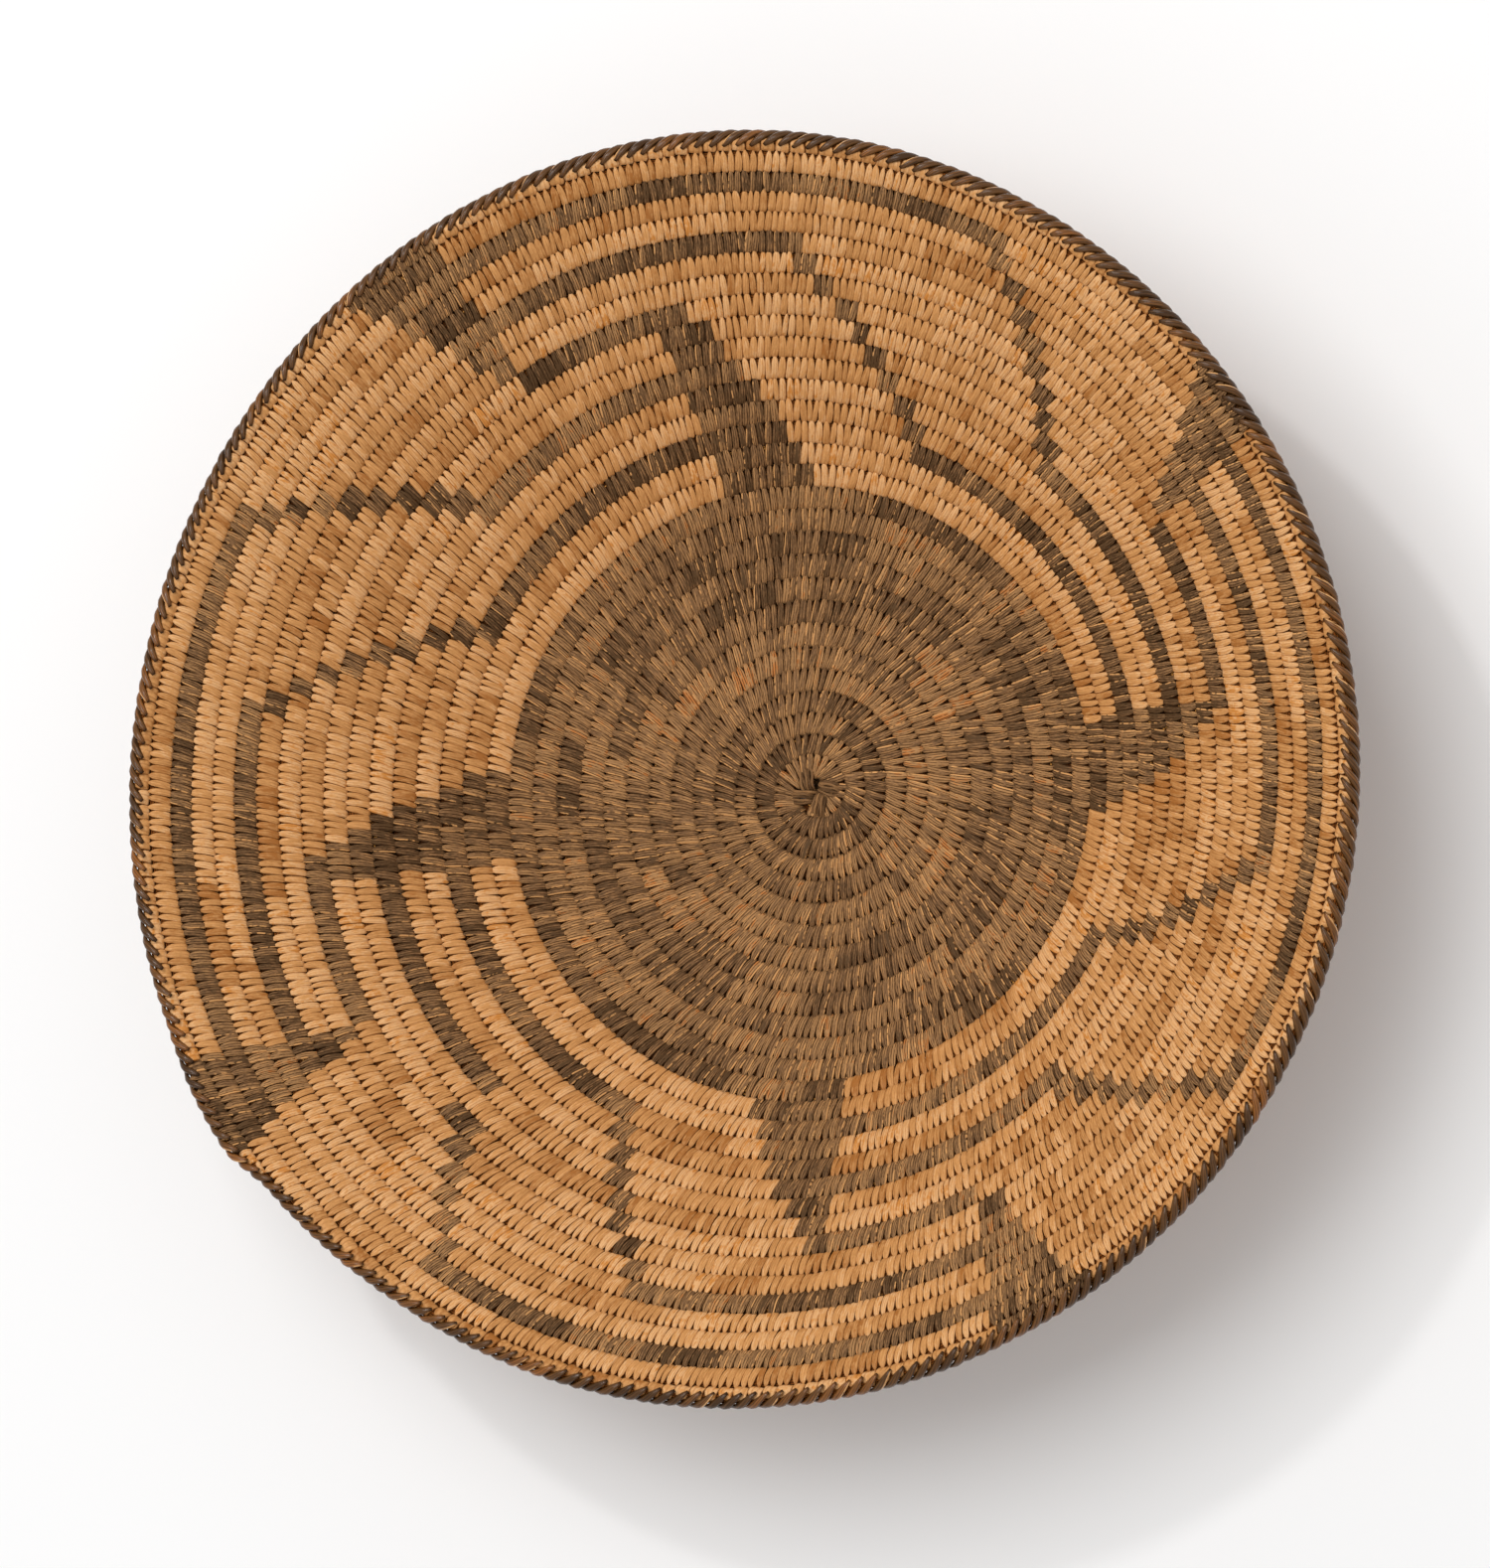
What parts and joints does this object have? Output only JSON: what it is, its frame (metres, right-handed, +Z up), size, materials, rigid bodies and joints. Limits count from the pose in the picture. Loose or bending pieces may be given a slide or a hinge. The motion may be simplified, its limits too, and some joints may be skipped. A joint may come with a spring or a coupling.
{
  "type": "coiled basket tray",
  "caption": "Round coiled basket tray with a small flat base, a flared wall, a plaited start and a braided rim, sewn in light and dark splints.",
  "frame": {"origin": "middle of the plaited start, on the surface that the flat base stands on", "axes": "+Z up out of the bowl; +X towards the right of the front view, +Y away from the front"},
  "size_m": [0.3899, 0.3875, 0.096],
  "materials": {
    "light_splint": "split plant splints aged to honey and tan, satin, sewn in close slanted stitches",
    "dark_splint": "split plant splints, dark grey brown to brown black, satin, sewn in close slanted stitches",
    "rim_splint": "dark brown splints with a soft gloss, laid over the rim at a slant, each over the next like a rope's strands",
    "foundation_stem": "short bundles wrapped in dark splints, crossed and plaited at the centre"
  },
  "bodies": {
    "root": {"start_bundle_1": "foundation_stem", "start_bundle_2": "foundation_stem", "start_bundle_3": "foundation_stem", "start_bundle_4": "foundation_stem", "coil_row_01": "dark_splint", "coil_row_02": "dark_splint", "coil_row_03": "dark_splint", "coil_row_04": "dark_splint", "coil_row_05": "dark_splint", "coil_row_06": "dark_splint", "coil_row_07": "dark_splint", "coil_row_08": "dark_splint", "coil_row_09": "dark_splint", "coil_row_10": "dark_splint", "coil_row_11": "dark_splint", "coil_row_12": "dark_splint", "coil_row_13": "dark_splint", "coil_row_14": "light_splint", "coil_row_15": "light_splint", "coil_row_16": "light_splint", "coil_row_17": "light_splint", "coil_row_18": "light_splint", "coil_row_19": "light_splint", "coil_row_20": "light_splint", "coil_row_21": "light_splint", "coil_row_22": "light_splint", "coil_row_23": "light_splint", "coil_row_24": "light_splint", "coil_row_25": "light_splint", "coil_row_26": "light_splint", "coil_row_27": "light_splint", "coil_row_28": "light_splint", "coil_row_29": "light_splint", "coil_row_30": "light_splint", "rim_braid": "rim_splint"}
  },
  "joints": []
}
